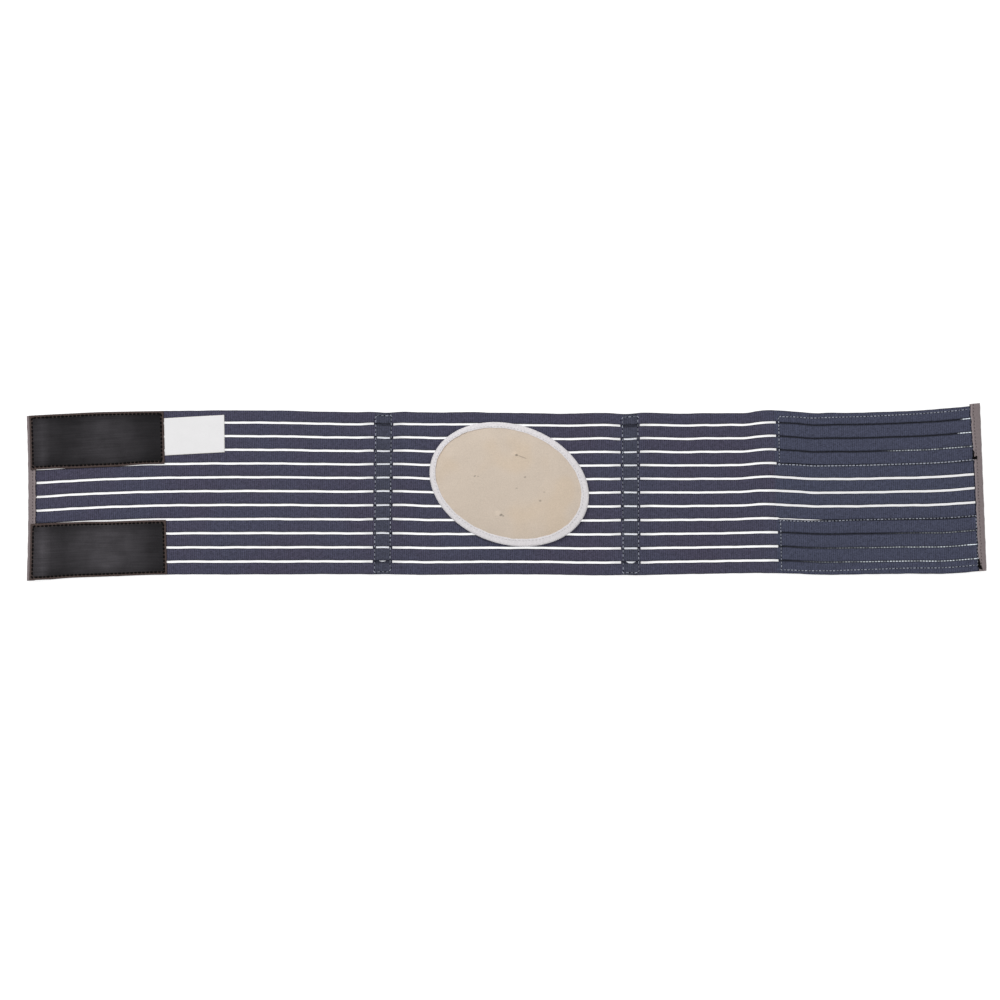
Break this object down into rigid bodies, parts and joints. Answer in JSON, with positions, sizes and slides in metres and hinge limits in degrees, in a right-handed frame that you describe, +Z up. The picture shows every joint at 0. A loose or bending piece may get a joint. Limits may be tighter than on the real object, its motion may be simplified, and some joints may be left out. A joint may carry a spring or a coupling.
{
  "type": "hernia belt",
  "caption": "Wide support belt of slotted elastic, laid flat, with hook and loop tape patches at its ends, sewn-in stays and an oval bound foam pad.",
  "frame": {"origin": "on the surface the belt lies on, under the middle of its outline", "axes": "+X along the belt towards the loop tape end, +Y across it towards the label's edge, +Z up, out of the body side"},
  "size_m": [0.9302, 0.1706, 0.013],
  "materials": {
    "elastic": "ribbed woven elastic, grey navy",
    "binding_tape": "woven nylon tape, grey mauve",
    "hook_tape": "nylon hook tape, near black, slightly glossy",
    "loop_tape": "brushed nylon loop tape, dark grey navy",
    "casing_tape": "woven tape, grey navy",
    "stay_plastic": "smooth bluish white plastic",
    "label_satin": "white woven satin, bare",
    "pad_cloth": "brushed beige knit over foam",
    "pad_tape": "white knitted binding tape"
  },
  "bodies": {
    "root": {"elastic_panel": "elastic", "left_end_binding": "binding_tape", "right_end_binding": "binding_tape", "upper_hook_patch": "hook_tape", "lower_hook_patch": "hook_tape", "upper_loop_patch": "loop_tape", "lower_loop_patch": "loop_tape", "left_stay_casing": "casing_tape", "right_stay_casing": "casing_tape", "left_stay": "stay_plastic", "right_stay": "stay_plastic", "sewn_label": "label_satin", "pad_body": "pad_cloth", "pad_rim_binding": "pad_tape"}
  },
  "joints": []
}
